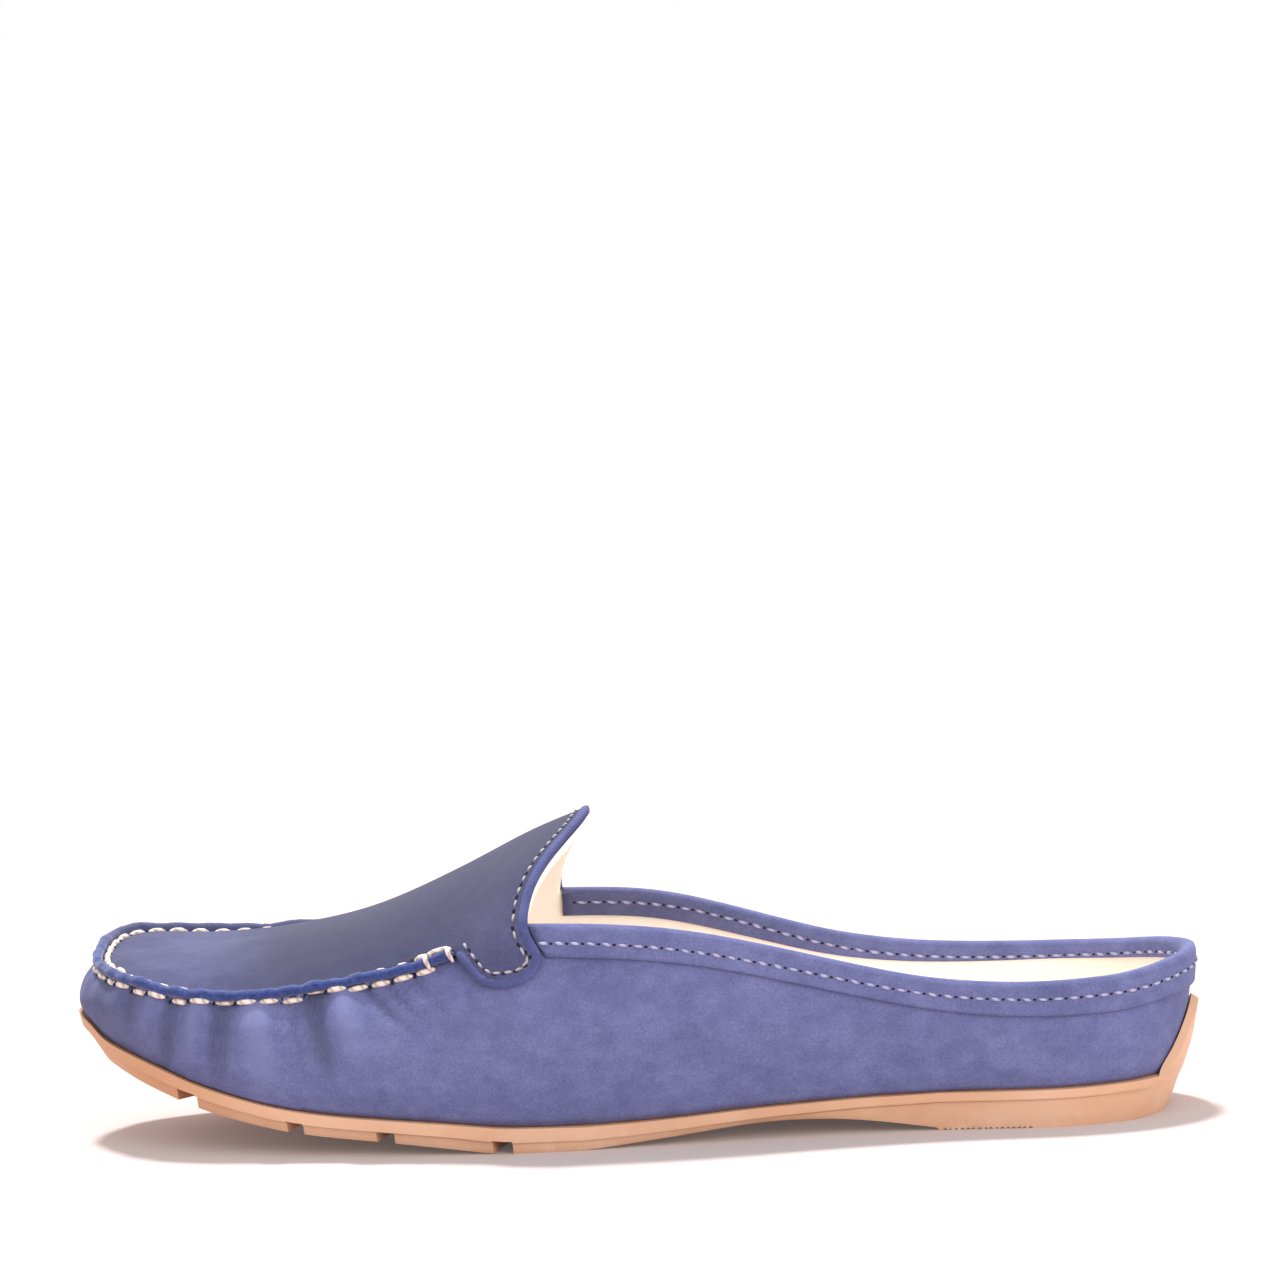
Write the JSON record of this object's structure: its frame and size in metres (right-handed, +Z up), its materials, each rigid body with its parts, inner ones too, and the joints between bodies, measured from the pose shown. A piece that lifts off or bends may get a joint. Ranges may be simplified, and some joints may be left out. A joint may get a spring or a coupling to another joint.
{
  "type": "loafer mule",
  "caption": "Low slip-on shoe with a moccasin apron, a tongue with saddle ears, a low collar round the heel and a moulded rubber sole.",
  "frame": {"origin": "on the floor, under the middle of the shoe's box", "axes": "+X from toe to heel, +Z up, -Y towards the little-toe side"},
  "size_m": [0.2628, 0.0896, 0.0742],
  "materials": {
    "nubuck": "matt brushed blue nubuck",
    "suede_edge": "raw cut edge, brighter blue",
    "rubber": "caramel, soft satin",
    "lining_leather": "smooth cream lining leather"
  },
  "bodies": {
    "root": {"outsole": "rubber", "insole": "lining_leather", "upper": "nubuck", "apron": "nubuck", "apron_seam": "suede_edge", "topline_binding": "nubuck"}
  },
  "joints": []
}
